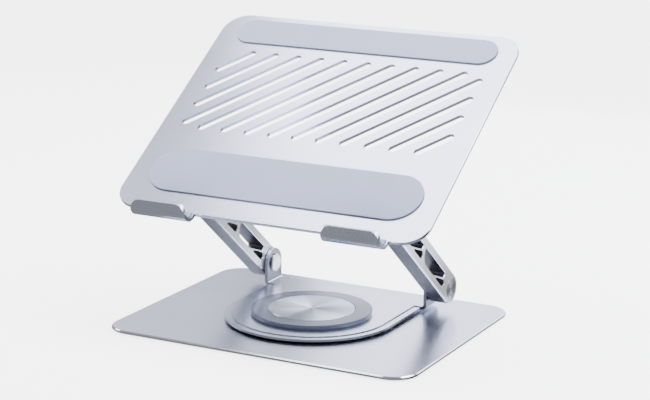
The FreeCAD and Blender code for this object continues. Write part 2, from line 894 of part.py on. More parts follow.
def make_cap(label, side):
    """Spun disc that closes the counterbore, level with the arm's face."""
    inner = arm_outer - S.cap_thick
    bevel = S.cap_thick / 5
    return turned_across(label, [
        (side * inner, 0),
        (side * inner, S.counterbore_radius),
        (side * (arm_outer - bevel), S.counterbore_radius),
        (side * arm_outer, S.counterbore_radius - bevel),
        (side * arm_outer, 0),
    ])


for level, back, up in LEVELS:
    gap = as_size(0) if level == "lower" else S.face_gap
    pieces = [make_pin(f"{level}_pin_{word}", side, gap) for word, side in SIDES]
    pieces += [make_friction_washers(level), make_spring_washers(level), make_lock_nuts(level)]
    pieces += [make_cap(f"{level}_cap_{word}", side) for word, side in SIDES]
    for piece in pieces:
        move_to(piece, back=back, up=up)
        keep(piece)

# ---------------------------------------------------------------- arms
# An arm is drawn lying flat, from the lower hinge at its origin towards -Y, and then raised.
WINDOW_CORNERS = ((43.4, -1.0), (21.0, 0.2), (20.2, 1.0), (70.6, 1.0))
WINDOW_BOW = (70.6, -1.0)
NOTCH_CORNERS = ((38.5, -1.0), (19.5, 0.0), (16.5, -0.5), (19.0, -1.0))


def window_outline(corners):
    """Corners given as (distance along the arm, share of the rear or front half width)."""
    points = []
    for along, share in corners:
        half = S.window_rear if share > 0 else S.window_front
        points.append((-as_size(along), half * share))
    return points


def at_corners(corners):
    """A test for the edges across the arm that stand at the given corners of either window."""
    across = runs_along("X")
    places = [(along.value - shift, up.value) for along, up in window_outline(corners)
              for shift in (0, S.window_pitch.value)]

    def wanted(edge):
        middle = edge.BoundBox.Center
        near = (math.hypot(middle.y - along, middle.z - up) < 1e-2 for along, up in places)
        return across(edge) and any(near)
    return wanted


def round_windows(edge):
    """A test for the rims of the windows, on both faces of an arm."""
    middle = edge.BoundBox.Center
    along = -middle.y
    clear = S.arm_radius.value
    between = clear < along < S.arm_long.value - clear
    return between and edge.BoundBox.XLength < 1e-4 and abs(middle.z) < clear - S.arm_chamfer.value * 2


def make_arm(label, side):
    """Milled bar with round ends, two open windows, and a hinge seat at each end."""
    body = new_body(label)
    outline = new_sketch(body, "YZ_Plane", f"{label}_outline", side * S.arm_inner)
    add_stadium(outline, (0, 0), (-S.arm_long, 0), S.arm_radius)
    pad(body, outline, S.arm_thick, f"{label}_pad", backwards=side < 0)
    faces = (side * S.arm_inner.value, side * arm_outer.value)
    dress(body, "Chamfer", "Size", S.arm_chamfer, f"{label}_rim", level_at("X", *faces))
    window = new_sketch(body, "YZ_Plane", f"{label}_window_outline", side * arm_outer)
    add_polygon(window, window_outline(WINDOW_CORNERS + (WINDOW_BOW,)))
    add_polygon(window, window_outline(NOTCH_CORNERS))
    first = pocket(body, window, S.arm_thick, f"{label}_window", backwards=side < 0)
    pattern = add_feature(body, "LinearPattern", f"{label}_windows")
    pattern.Originals = [first]
    pattern.Direction = (origin_feature(body, "Y_Axis"), [""])
    pattern.Reversed = True
    bind(pattern, "Length", S.window_pitch)
    pattern.Occurrences = 2
    body.Tip = pattern
    doc.recompute()
    dress(body, "Fillet", "Radius", S.window_bow, f"{label}_window_bows", at_corners((WINDOW_BOW,)))
    dress(body, "Fillet", "Radius", S.window_corner, f"{label}_window_corners", at_corners(WINDOW_CORNERS))
    dress(body, "Fillet", "Radius", S.notch_corner, f"{label}_notch_corners", at_corners(NOTCH_CORNERS))
    dress(body, "Chamfer", "Size", S.window_chamfer, f"{label}_window_rims", round_windows)
    for name, radius, deep in (
            ("bores", S.pin_bore, S.arm_thick), ("seats", S.counterbore_radius, S.counterbore_deep)):
        holes = new_sketch(body, "YZ_Plane", f"{label}_{name}_outline", side * arm_outer)
        add_circle(holes, 0, 0, radius)
        add_circle(holes, -S.arm_long, 0, radius)
        pocket(body, holes, deep, f"{label}_{name}", backwards=side < 0)
    move_to(body, back=S.hinge_rear, up=S.hinge_high, turn=-S.arm_rise)
    return body


for word, side in SIDES:
    keep(make_arm(f"{word}_arm", side))

# ---------------------------------------------------------------- tray
# The tray is drawn level, with its origin on the upper hinge axis, and then tilted.
tray_front = -S.hinge_back
tray_under = S.hinge_drop - S.tray_thick


def on_upper_hinge(obj):
    move_to(obj, back=upper_back, up=upper_high, turn=S.tray_tilt)
    return obj


def hook_tip_up(radius, tip_long):
    """Height of a hook's tip, on its face of the given bend radius."""
    centre_up = S.hinge_drop + S.hook_bend
    return centre_up + radius * sin_of(S.hook_lean) + tip_long * cos_of(S.hook_lean)


def add_hook_profile(sketch, inner, outer, root, tip_long):
    """A band that leaves the tray's front edge, curls up and leans back at its tip."""
    centre_back = tray_front - S.hook_start
    centre_up = S.hinge_drop + S.hook_bend
    lean = 180 - S.hook_lean.value
    large = add_arc(sketch, centre_back, centre_up, outer, lean, 270)
    small = add_arc(sketch, centre_back, centre_up, inner, lean, 270)

    def tip(radius):
        back = centre_back - radius * cos_of(S.hook_lean) + tip_long * sin_of(S.hook_lean)
        return back, hook_tip_up(radius, tip_long)

    first = sketch.GeometryCount
    large_tip = tip(outer)
    small_tip = tip(inner)
    low_root = (root, centre_up - outer)
    top_root = (root, centre_up - inner)
    sketch.addGeometry(Part.LineSegment(arc_end(sketch, large, 1), flat_point(*large_tip)), False)
    sketch.addGeometry(Part.LineSegment(flat_point(*large_tip), flat_point(*small_tip)), False)
    sketch.addGeometry(Part.LineSegment(flat_point(*small_tip), arc_end(sketch, small, 1)), False)
    sketch.addGeometry(Part.LineSegment(arc_end(sketch, small, 2), flat_point(*top_root)), False)
    sketch.addGeometry(Part.LineSegment(flat_point(*top_root), flat_point(*low_root)), False)
    sketch.addGeometry(Part.LineSegment(flat_point(*low_root), arc_end(sketch, large, 2)), False)
    joins = ((first, 1, large, 1), (first, 2, first + 1, 1), (first + 1, 2, first + 2, 1),
             (first + 2, 2, small, 1), (first + 3, 1, small, 2), (first + 3, 2, first + 4, 1),
             (first + 4, 2, first + 5, 1), (first + 5, 2, large, 2))
    for join in joins:
        sketch.addConstraint(Sketcher.Constraint("Coincident", *join))
    fix_point(sketch, first, 2, *large_tip)
    fix_point(sketch, first + 1, 2, *small_tip)
    fix_point(sketch, first + 3, 2, *top_root)
    fix_point(sketch, first + 4, 2, *low_root)
    for arc, radius in ((large, outer), (small, inner)):
        start_back = centre_back - radius * cos_of(S.hook_lean)
        driven(sketch, Sketcher.Constraint("DistanceX", -1, 1, arc, 1, start_back.value), start_back)
        sketch.addConstraint(Sketcher.Constraint("Vertical", arc, 3, arc, 2))


def slot_ends(number):
    """Both end centres of one slanted slot: where a 45 degree line leaves the slotted field."""
    rise = S.slot_high + S.slot_first - number * S.slot_pitch
    top_across = number * S.slot_pitch - S.slot_first
    top = (top_across, S.slot_high)
    if top_across.value > S.slot_reach.value:
        top = (S.slot_reach, S.slot_reach + rise)
    low = (-S.slot_reach, rise - S.slot_reach)
    if low[1].value < S.slot_low.value:
        low = (S.slot_low - rise, S.slot_low)
    return low, top


SLOTS = 14
BRACKET_SCREWS = ((0, 1), (1, -1), (-1, -1))


def bracket_screw_places():
    """Three screws a side: as (across, along the tray from the hinge)."""
    places = []
    for word, side in SIDES:
        for end, row in BRACKET_SCREWS:
            inward = S.bracket_screw_in + row * S.bracket_screw_side / 4
            places.append((side * (ear_outer - inward), end * S.bracket_screw_side))
    return places


def make_tray_plate():
    """Rounded sheet with slanted slots and two bent hooks on its front edge."""
    body = new_body("tray_plate")
    outline = new_sketch(body, "XY_Plane", "tray_outline", S.hinge_drop)
    across = S.tray_wide / 2
    rear = tray_front + S.tray_deep
    add_polygon(outline, [(-across, tray_front), (across, tray_front), (across, rear), (-across, rear)])
    pad(body, outline, S.tray_thick, "tray_pad", backwards=True)
    dress(body, "Fillet", "Radius", S.tray_corner, "tray_corners", runs_along("Z"))
    rims = level_at("Z", S.hinge_drop.value, tray_under.value)
    dress(body, "Chamfer", "Size", S.plate_chamfer / 2, "tray_rim", rims)
    slots = new_sketch(body, "XY_Plane", "slot_outlines", S.hinge_drop)
    for number in range(SLOTS):
        low, top = slot_ends(number)
        low = (low[0], low[1] + tray_front)
        top = (top[0], top[1] + tray_front)
        add_stadium(slots, low, top, S.slot_radius)
    pocket(body, slots, S.tray_thick, "slots")
    hook_outer = S.hook_bend + S.tray_thick
    hook = new_sketch(body, "YZ_Plane", "hook_profile", S.hook_middle - S.hook_wide / 2)
    add_hook_profile(hook, S.hook_bend, hook_outer, tray_front + S.plate_chamfer, S.hook_tip_long)
    hook_pad = pad(body, hook, S.hook_wide, "hook_band")
    tip_up = hook_tip_up(hook_outer, S.hook_tip_long)
    hook_trim = trim_hook_corners(body, S.hook_middle, S.hook_wide / 2, tip_up, S.hook_corner)
    other_side = add_feature(body, "Mirrored", "hook_other_side")
    other_side.Originals = [hook_pad, hook_trim]
    other_side.MirrorPlane = (origin_feature(body, "YZ_Plane"), [""])
    body.Tip = other_side
    doc.recompute()
    screws = new_sketch(body, "XY_Plane", "tray_screw_outlines", S.hinge_drop)
    for place in bracket_screw_places():
        add_circle(screws, *place, S.screw_radius)
    pocket(body, screws, S.tray_thick, "tray_screw_holes")
    sink = round_edge(S.screw_radius.value, "Z", S.hinge_drop.value)
    dress(body, "Chamfer", "Size", S.screw_cone, "tray_countersinks", sink)
    return on_upper_hinge(body)


def trim_hook_corners(body, middle, half, tip_up, radius):
    """Round the two top corners of a hook, or of its lining, as seen from the front."""
    trim = new_sketch(body, "XZ_Plane", f"{body.Label}_corner_outline", -(tray_front - S.hook_start / 2))
    for edge in (-1, 1):
        wall = middle + edge * half
        centre = wall - edge * radius
        low = tip_up - radius
        arc = add_arc(trim, centre, low, radius, 90 if edge < 0 else 0, 180 if edge < 0 else 90)
        side_end = 2 if edge < 0 else 1
        top_end = 3 - side_end
        first = trim.GeometryCount
        beyond = wall + edge * radius / 8
        above = tip_up + radius / 8
        corners = [flat_point(beyond, low), flat_point(beyond, above), flat_point(centre, above)]
        trim.addGeometry(Part.LineSegment(arc_end(trim, arc, side_end), corners[0]), False)
        trim.addGeometry(Part.LineSegment(corners[0], corners[1]), False)
        trim.addGeometry(Part.LineSegment(corners[1], corners[2]), False)
        trim.addGeometry(Part.LineSegment(corners[2], arc_end(trim, arc, top_end)), False)
        for join in ((first, 1, arc, side_end), (first, 2, first + 1, 1), (first + 1, 2, first + 2, 1),
                     (first + 2, 2, first + 3, 1), (first + 3, 2, arc, top_end)):
            trim.addConstraint(Sketcher.Constraint("Coincident", *join))
        trim.addConstraint(Sketcher.Constraint("Horizontal", first))
        trim.addConstraint(Sketcher.Constraint("Vertical", first + 3))
        trim.addConstraint(Sketcher.Constraint("Horizontal", arc, 3, arc, side_end))
        trim.addConstraint(Sketcher.Constraint("Vertical", arc, 3, arc, top_end))
        fix_point(trim, first + 1, 2, beyond, above)
        trim.addConstraint(Sketcher.Constraint("Vertical", first + 1))
        trim.addConstraint(Sketcher.Constraint("Horizontal", first + 2))
    deep = S.hook_bend * 2 + S.tray_thick
    return pocket(body, trim, deep, f"{body.Label}_corner_trim", backwards=True)


def make_tray_pad(label, middle, radius):
    """Flat silicone pad with round ends, stuck on the tray."""
    body = new_body(label)
    outline = new_sketch(body, "XY_Plane", f"{label}_outline", S.hinge_drop)
    line = middle + tray_front
    reach = S.pad_reach - radius
    add_stadium(outline, (-reach, line), (reach, line), radius)
    pad(body, outline, S.pad_thick, f"{label}_pad")
    top = level_at("Z", (S.hinge_drop + S.pad_thick).value)
    dress(body, "Fillet", "Radius", S.pad_thick / 3, f"{label}_edge", top)
    return on_upper_hinge(body)


def make_hook_pad(label, side):
    """Silicone strip inside a hook, so that the laptop's edge meets no metal."""
    body = new_body(label)
    half = S.hook_wide / 2 - S.hook_pad_inset
    tip_long = S.hook_tip_long - S.hook_pad_inset
    profile = new_sketch(body, "YZ_Plane", f"{label}_profile", side * (S.hook_middle - half))
    root = tray_front + S.plate_chamfer
    add_hook_profile(profile, S.hook_bend - S.hook_pad_thick, S.hook_bend, root, tip_long)
    pad(body, profile, half * 2, f"{label}_strip", backwards=side < 0)
    tip_up = hook_tip_up(S.hook_bend, tip_long)
    trim_hook_corners(body, side * S.hook_middle, half, tip_up, S.hook_corner - S.hook_pad_inset)
    return on_upper_hinge(body)


def make_bracket(label, side):
    """Angle bracket: a flange under the tray and an ear down to the upper hinge."""
    body = new_body(label)
    ear = new_sketch(body, "YZ_Plane", f"{label}_ear_outline", side * S.ear_inner)
    add_ear_outline(ear, as_size(0), tray_under, as_size(0), upright=-1)
    pad(body, ear, S.sheet_thick, f"{label}_ear", backwards=side < 0)
    flange = new_sketch(body, "XY_Plane", f"{label}_flange_outline", tray_under)
    inner = side * (ear_outer - S.bracket_reach)
    outer = side * ear_outer
    half = S.bracket_wide / 2
    add_polygon(flange, [(inner, -half), (outer, -half), (outer, half), (inner, half)])
    pad(body, flange, S.sheet_thick, f"{label}_flange", backwards=True)
    inner_corners = runs_along("Z")

    def at_inner_end(edge):
        return inner_corners(edge) and abs(edge.BoundBox.Center.x - inner.value) < 1e-3
    dress(body, "Fillet", "Radius", S.bracket_wide / 8, f"{label}_flange_corners", at_inner_end)
    hole = new_sketch(body, "YZ_Plane", f"{label}_pin_outline", side * ear_outer)
    add_circle(hole, 0, 0, S.pin_bore)
    pocket(body, hole, S.sheet_thick, f"{label}_pin_hole", backwards=side < 0)
    screws = new_sketch(body, "XY_Plane", f"{label}_screw_outlines", tray_under)
    for place in bracket_screw_places():
        if place[0].value * side > 0:
            add_circle(screws, *place, S.screw_radius)
    pocket(body, screws, S.sheet_thick, f"{label}_screw_holes")
    return on_upper_hinge(body)


def make_bracket_screws():
    screws = []
    for number, place in enumerate(bracket_screw_places(), start=1):
        screws.append(make_screw(f"bracket_screw_{number}", *place, S.hinge_drop, S.screw_long))
    return on_upper_hinge(group("bracket_screws", screws))


keep(make_tray_plate())
keep(make_tray_pad("tray_lower_pad", S.lower_pad_middle, S.lower_pad_radius))
keep(make_tray_pad("tray_upper_pad", S.upper_pad_middle, S.upper_pad_radius))
for word, side in SIDES:
    keep(make_hook_pad(f"hook_pad_{word}", side))
    keep(make_bracket(f"hinge_bracket_{word}", side))
keep(make_bracket_screws())

# ---------------------------------------------------------------- check and write
doc.recompute()
for item in doc.Objects:
    if "Invalid" in item.State or "Error" in item.State:
        raise RuntimeError(f"{item.Name}: {item.State}")
os.makedirs("parts", exist_ok=True)
for node in NODES:
    if node.Shape.isNull() or not node.Shape.isValid():
        raise RuntimeError(f"{node.Label}: shape is not valid")
for node in NODES:
    node.Shape.exportStep(os.path.join("parts", f"{node.Label}.step"))
    box = node.Shape.BoundBox
    print(f"{node.Label:26s} solids {len(node.Shape.Solids):3d} volume {node.Shape.Volume:10.1f}"
          f"  x {box.XMin:8.2f} {box.XMax:8.2f}  y {box.YMin:8.2f} {box.YMax:8.2f}"
          f"  z {box.ZMin:7.2f} {box.ZMax:7.2f}")
print(len(NODES), "nodes")
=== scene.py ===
import json
import math

import bmesh
import bpy
from mathutils import Matrix, Vector


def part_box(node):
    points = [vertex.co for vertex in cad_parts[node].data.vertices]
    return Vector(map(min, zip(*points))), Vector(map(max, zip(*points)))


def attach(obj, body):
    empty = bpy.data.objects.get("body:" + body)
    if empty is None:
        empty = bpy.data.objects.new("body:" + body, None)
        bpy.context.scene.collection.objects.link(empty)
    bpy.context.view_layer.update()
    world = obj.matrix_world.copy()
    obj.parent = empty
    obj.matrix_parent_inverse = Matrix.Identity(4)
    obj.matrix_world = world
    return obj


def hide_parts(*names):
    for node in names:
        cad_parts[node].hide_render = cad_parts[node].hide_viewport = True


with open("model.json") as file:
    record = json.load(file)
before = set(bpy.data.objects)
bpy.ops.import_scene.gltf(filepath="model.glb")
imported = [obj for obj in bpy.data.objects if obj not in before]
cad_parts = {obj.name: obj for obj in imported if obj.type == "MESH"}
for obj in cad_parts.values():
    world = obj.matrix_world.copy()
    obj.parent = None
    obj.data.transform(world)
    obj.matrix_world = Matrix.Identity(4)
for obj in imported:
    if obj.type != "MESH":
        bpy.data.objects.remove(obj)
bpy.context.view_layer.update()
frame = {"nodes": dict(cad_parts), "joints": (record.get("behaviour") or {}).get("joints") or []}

nodes = frame["nodes"]
joints = {joint["name"]: joint for joint in frame["joints"]}
scene = bpy.context.scene
MM = 0.001

# ---------------------------------------------------------------- camera
# A long lens, in front of the stand and to its right, a little above it and turned down so that the
# tray, the arms and the whole base are in view. Its turns are in degrees and its lens in millimetres.
CAMERA_PLACE = (0.70815, -1.36438, 0.47825)
CAMERA_TURN = 27.06
CAMERA_DOWN = 13.687
CAMERA_ROLL = 0.664
CAMERA_LENS = 107.78
camera = bpy.data.objects.new("camera", bpy.data.cameras.new("camera"))
scene.collection.objects.link(camera)
camera.data.sensor_width = 36
camera.data.lens = CAMERA_LENS
camera.matrix_world = (
    Matrix.Translation(CAMERA_PLACE)
    @ Matrix.Rotation(math.radians(CAMERA_TURN), 4, "Z")
    @ Matrix.Rotation(math.radians(90 - CAMERA_DOWN), 4, "X")
    @ Matrix.Rotation(math.radians(CAMERA_ROLL), 4, "Z")
)
scene.camera = camera


# ---------------------------------------------------------------- studio
# A white acrylic table lit from within, which the stand's metal does not mirror, a dim tent all round,
# and softboxes that the metal mirrors: the tray the one overhead, the base and the disc the two panels
# low behind the stand, and the arms' right sides the reflector that lies on the table.
def from_hex(code):
    """An sRGB colour such as "D8DADC" as the linear RGBA that shaders take."""
    channels = [int(code[start:start + 2], 16) / 255 for start in (0, 2, 4)]
    linear = [c / 12.92 if c <= 0.04045 else ((c + 0.055) / 1.055) ** 2.4 for c in channels]
    return (*linear, 1.0)


def add_node(material, kind, settings=None, inputs=None):
    """Add a shader node; each input is a value, or an output socket to link from."""
    tree = material.node_tree
    node = tree.nodes.new(kind)
    for name, value in (settings or {}).items():
        setattr(node, name, value)
    for name, value in (inputs or {}).items():
        socket = node.inputs[name]
        if isinstance(value, bpy.types.NodeSocket):
            tree.links.new(value, socket)
        else:
            socket.default_value = value
    return node


def new_material(name, **shader_values):
    """A node material with its shader's own values set; gives the material, shader and coordinates."""
    material = bpy.data.materials.new(name)
    material.use_nodes = True
    shader = material.node_tree.nodes["Principled BSDF"]
    for socket, value in shader_values.items():
        shader.inputs[socket.replace("_", " ")].default_value = value
    coordinates = add_node(material, "ShaderNodeTexCoord")
    return material, shader, coordinates


def join(material, output, shader, socket):
    """Link a node's output to one of the shader's sockets."""
    material.node_tree.links.new(output, shader.inputs[socket])


SMOOTH_BELOW = math.radians(32)


def new_piece(name, edit, material, body=None, replaced=()):
    """Turn a finished bmesh into a piece that rides on a body and stands for CAD nodes."""
    mesh = bpy.data.meshes.new(name)
    edit.to_mesh(mesh)
    edit.free()
    mesh.shade_smooth()
    mesh.set_sharp_from_angle(angle=SMOOTH_BELOW)
    mesh.materials.append(material)
    piece = bpy.data.objects.new(name, mesh)
    scene.collection.objects.link(piece)
    if body:
        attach(piece, body)
        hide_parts(*replaced)
    return piece


# The table is an even white, with a cloud so faint that it only keeps the acrylic from looking printed.
TABLE_HALF = 8.0
TABLE_GLOW = 4.0
TABLE_CLOUDS_PER_METRE = 3.0
table_acrylic, table_shader, table_coordinates = new_material(
    "lit_acrylic_table", Roughness=0.9, Emission_Color=(1.0, 1.0, 1.0, 1.0), Emission_Strength=TABLE_GLOW)
table_cloud = add_node(table_acrylic, "ShaderNodeTexNoise", None, {
    "Vector": table_coordinates.outputs["Object"], "Scale": TABLE_CLOUDS_PER_METRE, "Detail": 2.0})
table_tone = add_node(table_acrylic, "ShaderNodeMix", {"data_type": "RGBA"}, {
    "Factor": table_cloud.outputs["Fac"], 6: from_hex("F7F7F8"), 7: from_hex("FAFAFA")})
join(table_acrylic, table_tone.outputs[2], table_shader, "Base Color")
floor_edit = bmesh.new()
bmesh.ops.create_grid(floor_edit, x_segments=1, y_segments=1, size=TABLE_HALF)
floor = new_piece("floor", floor_edit, table_acrylic)
floor.visible_glossy = False

TENT_CLOTH = "F4F5F8"
TENT_GLOW = 0.4
tent = bpy.data.worlds.new("studio_tent")
scene.world = tent
tent.use_nodes = True
tent_light = tent.node_tree.nodes["Background"]
tent_light.inputs["Color"].default_value = from_hex(TENT_CLOTH)
tent_light.inputs["Strength"].default_value = TENT_GLOW

SOFTBOX_CLOTH = "EEF1FB"


def add_softbox(name, place, aim, size, watts):
    """A rectangular lamp at a place, facing a point, of a width and a height, that the camera can't see."""
    lamp = bpy.data.lights.new(name, "AREA")
    lamp.shape = "RECTANGLE"
    lamp.size, lamp.size_y = size
    lamp.energy = watts
    lamp.color = from_hex(SOFTBOX_CLOTH)[:3]
    softbox = bpy.data.objects.new(name, lamp)
    softbox.location = place
    softbox.rotation_euler = (Vector(aim) - Vector(place)).to_track_quat("-Z", "Y").to_euler()
    softbox.visible_camera = False
    scene.collection.objects.link(softbox)


# The front strip and the two side softboxes reach the hooks, the front edges and the arms. The pin card
# is mirrored in the head of the left lower pin, and the backdrop softbox evens out the table far behind.
add_softbox("overhead_softbox", (0.215, 0.13, 0.9), (0.215, 0.13, 0.0), (1.37, 0.54), 15)
add_softbox("front_strip", (-0.45, -0.38, 0.9), (-0.3, -0.2, 0.0), (0.6, 0.1), 1.2)
add_softbox("left_softbox", (-1.5, 0.05, 1.2), (-0.6, 0.0, 0.0), (0.8, 0.9), 11)
add_softbox("right_softbox", (1.2, 0.4, 1.3), (0.2, 0.1, 0.0), (1.2, 1.2), 22)
add_softbox("rear_panel", (0.15, 0.95, 0.4), (0.15, 0, 0.25), (1.3, 0.55), 6.5)
add_softbox("rear_left_panel", (-0.9, 0.8, 0.35), (-0.2, 0, 0.1), (0.7, 0.6), 0.8)
add_softbox("floor_reflector", (0.64, 0.61, 0.002), (0.64, 0.61, 1.0), (0.9, 1.0), 7.5)
add_softbox("pin_card", (-0.027, 0.158, 0.002), (-0.027, 0.158, 1.0), (0.05, 0.1), 0.055)
add_softbox("backdrop_softbox", (-0.9, 2.2, 1.6), (-0.9, 2.2, 0.0), (3.0, 1.4), 36)


# ---------------------------------------------------------------- base plate
# A laser-cut aluminium sheet, bead blasted, silver anodised, and then diamond cut round its rim: a soft
# satin face with a thin bright line where the cut took the blasted skin away, and walls that face left and
# right darkened with painted shade.
ANODISED = "D8DCEB"
BLASTED_DARK = "CFD3E3"
CUT_EDGE = "F4F5F8"
BLAST_GRIT = 0.35 * MM
ROLLING_MOTTLE = 45 * MM
SKIN_SHARE = (0.12, 0.4)
SPECKLE_SHARE = (0.3, 0.7)
SATIN_SWING = 0.03
SIDE_TURN = (0.75, 0.9)
RIM_SLOPE = math.sqrt(0.5)
RIM_SLOPE_SPREAD = 0.08
RIM_GLOSS = 0.14
UP = (0.0, 0.0, 1.0)


def anodised_aluminium(name, roughness, light=ANODISED, dark=BLASTED_DARK, grit=BLAST_GRIT,
                       depth=0.004 * MM, faces=None, beyond=None, painted_sides=None):
    """Blasted and anodised aluminium: a slow mottle from rolling, a fine speckle and pits from the blast.
    A rim that slopes at 45 degrees to the direction that the faces look in is polished; beyond is a
    direction and a distance that keep the polish off whatever lies before it. A colour given for the
    walls that look to left and right is painted on them: painted shade where it is darker, painted light
    where it is paler."""
    material, shader, coordinates = new_material(name, Metallic=1.0)
    place = coordinates.outputs["Object"]
    mottle = add_node(material, "ShaderNodeTexNoise", None, {
        "Vector": place, "Scale": 1 / ROLLING_MOTTLE, "Detail": 3.0, "Roughness": 0.55})
    speckle = add_node(material, "ShaderNodeTexNoise", None, {
        "Vector": place, "Scale": 1 / grit, "Detail": 2.0})
    blend = add_node(material, "ShaderNodeMath", {"operation": "MULTIPLY"}, {
        0: mottle.outputs["Fac"], 1: speckle.outputs["Fac"]})
    share = add_node(material, "ShaderNodeMapRange", None, {
        "Value": blend.outputs[0], "From Min": SKIN_SHARE[0], "From Max": SKIN_SHARE[1]})
    skin = add_node(material, "ShaderNodeMix", {"data_type": "RGBA"}, {
        "Factor": share.outputs["Result"], 6: from_hex(dark), 7: from_hex(light)})
    satin = add_node(material, "ShaderNodeMapRange", None, {
        "Value": speckle.outputs["Fac"], "From Min": SPECKLE_SHARE[0], "From Max": SPECKLE_SHARE[1],
        "To Min": roughness - SATIN_SWING, "To Max": roughness + SATIN_SWING})
    colour, gloss = skin.outputs[2], satin.outputs["Result"]
    # The walls that look to left and right take the given side colour: painted shade where it is darker,
    # painted light where it is paler.
    if painted_sides:
        sideways = add_node(material, "ShaderNodeVectorMath", {"operation": "DOT_PRODUCT"}, {
            0: coordinates.outputs["Normal"], 1: (1.0, 0.0, 0.0)})
        either = add_node(material, "ShaderNodeMath", {"operation": "ABSOLUTE"}, {
            0: sideways.outputs["Value"]})
        painted_wall = add_node(material, "ShaderNodeMapRange", None, {
            "Value": either.outputs[0], "From Min": SIDE_TURN[0], "From Max": SIDE_TURN[1]})
        painted_side_mix = add_node(material, "ShaderNodeMix", {"data_type": "RGBA"}, {
            "Factor": painted_wall.outputs["Result"], 6: colour, 7: from_hex(painted_sides)})
        colour = painted_side_mix.outputs[2]
    if faces:
        slope = add_node(material, "ShaderNodeVectorMath", {"operation": "DOT_PRODUCT"}, {
            0: coordinates.outputs["Normal"], 1: faces})
        lean = add_node(material, "ShaderNodeMath", {"operation": "ABSOLUTE"}, {0: slope.outputs["Value"]})
        off_rim = add_node(material, "ShaderNodeMath", {"operation": "SUBTRACT"}, {
            0: lean.outputs[0], 1: RIM_SLOPE})
        near = add_node(material, "ShaderNodeMath", {"operation": "ABSOLUTE"}, {0: off_rim.outputs[0]})
        cut = add_node(material, "ShaderNodeMath", {"operation": "LESS_THAN"}, {
            0: near.outputs[0], 1: RIM_SLOPE_SPREAD})
        if beyond:
            direction, start = beyond
            along = add_node(material, "ShaderNodeVectorMath", {"operation": "DOT_PRODUCT"}, {
                0: place, 1: direction})
            inside = add_node(material, "ShaderNodeMath", {"operation": "GREATER_THAN"}, {
                0: along.outputs["Value"], 1: start})
            cut = add_node(material, "ShaderNodeMath", {"operation": "MULTIPLY"}, {
                0: cut.outputs[0], 1: inside.outputs[0]})
        bright = add_node(material, "ShaderNodeMix", {"data_type": "RGBA"}, {
            "Factor": cut.outputs[0], 6: colour, 7: from_hex(CUT_EDGE)})
        polish = add_node(material, "ShaderNodeMapRange", None, {
            "Value": cut.outputs[0], "To Min": gloss, "To Max": RIM_GLOSS})
        colour, gloss = bright.outputs[2], polish.outputs["Result"]
    pits = add_node(material, "ShaderNodeBump", None, {
        "Height": speckle.outputs["Fac"], "Distance": depth})
    join(material, colour, shader, "Base Color")
    join(material, gloss, shader, "Roughness")
    join(material, pits.outputs["Normal"], shader, "Normal")
    return material


def finish_nodes(material, *names):
    """Give CAD nodes a material in place of their plain one."""
    for name in names:
        nodes[name].data.materials.clear()
        nodes[name].data.materials.append(material)


# The base's walls that face left and right are darkened with painted shade.
finish_nodes(anodised_aluminium("blasted_anodised_base", 0.27, faces=UP, painted_sides="66686E"), "base_plate")

# ---------------------------------------------------------------- feet and centre pad
# Moulded grey silicone, glued under the plate: four strips with round ends and a round pad over the
# pivot's head. They are matt, a little cloudy, and keep a low sheen where the mould was polished.
SILICONE = "B9BFD9"
SILICONE_DARK = "B1B7D2"
PIGMENT_CLOUD = 30 * MM
MOULD_GRAIN = 0.5 * MM
MOULD_DEPTH = 0.012 * MM
GLOSS_SWING = 0.08
WALL_SHADE_TURN = (0.3, 0.75)
EDGE_SEGMENTS = 4
TOUCHING = 0.001 * MM


def moulded_silicone(name, light, dark, roughness=0.55, faces=None, painted_wall=None):
    """Moulded silicone: a faint cloud of pigment and the fine grain of the mould. A darker colour given for
    the rim is painted shade on whatever turns away from the direction that the faces look in."""
    material, shader, coordinates = new_material(
        name, IOR=1.42, Sheen_Weight=0.15, Sheen_Roughness=0.4)
    place = coordinates.outputs["Object"]
    cloud = add_node(material, "ShaderNodeTexNoise", None, {
        "Vector": place, "Scale": 1 / PIGMENT_CLOUD, "Detail": 3.0})
    tone = add_node(material, "ShaderNodeMix", {"data_type": "RGBA"}, {
        "Factor": cloud.outputs["Fac"], 6: from_hex(dark), 7: from_hex(light)})
    grain = add_node(material, "ShaderNodeTexNoise", None, {
        "Vector": place, "Scale": 1 / MOULD_GRAIN, "Detail": 2.0})
    matt = add_node(material, "ShaderNodeMapRange", None, {
        "Value": grain.outputs["Fac"], "To Min": roughness - GLOSS_SWING, "To Max": roughness + GLOSS_SWING})
    skin = add_node(material, "ShaderNodeBump", None, {
        "Height": grain.outputs["Fac"], "Distance": MOULD_DEPTH})
    colour = tone.outputs[2]
    # Painted shade: the rim that turns away from the faces takes the darker colour given for it.
    if painted_wall:
        slope = add_node(material, "ShaderNodeVectorMath", {"operation": "DOT_PRODUCT"}, {
            0: coordinates.outputs["Normal"], 1: faces})
        level = add_node(material, "ShaderNodeMapRange", None, {
            "Value": slope.outputs["Value"], "From Min": WALL_SHADE_TURN[0], "From Max": WALL_SHADE_TURN[1]})
        rim = add_node(material, "ShaderNodeMix", {"data_type": "RGBA"}, {
            "Factor": level.outputs["Result"], 6: from_hex(painted_wall), 7: colour})
        colour = rim.outputs[2]
    join(material, colour, shader, "Base Color")
    join(material, matt.outputs["Result"], shader, "Roughness")
    join(material, skin.outputs["Normal"], shader, "Normal")
    return material


def bevel_edges(edit, edges, size, segments=EDGE_SEGMENTS):
    """Round some of a bmesh's edges over."""
    bmesh.ops.bevel(edit, geom=edges, offset=size, offset_type="OFFSET", affect="EDGES",
                    segments=segments, profile=0.5, material=-1, clamp_overlap=True)


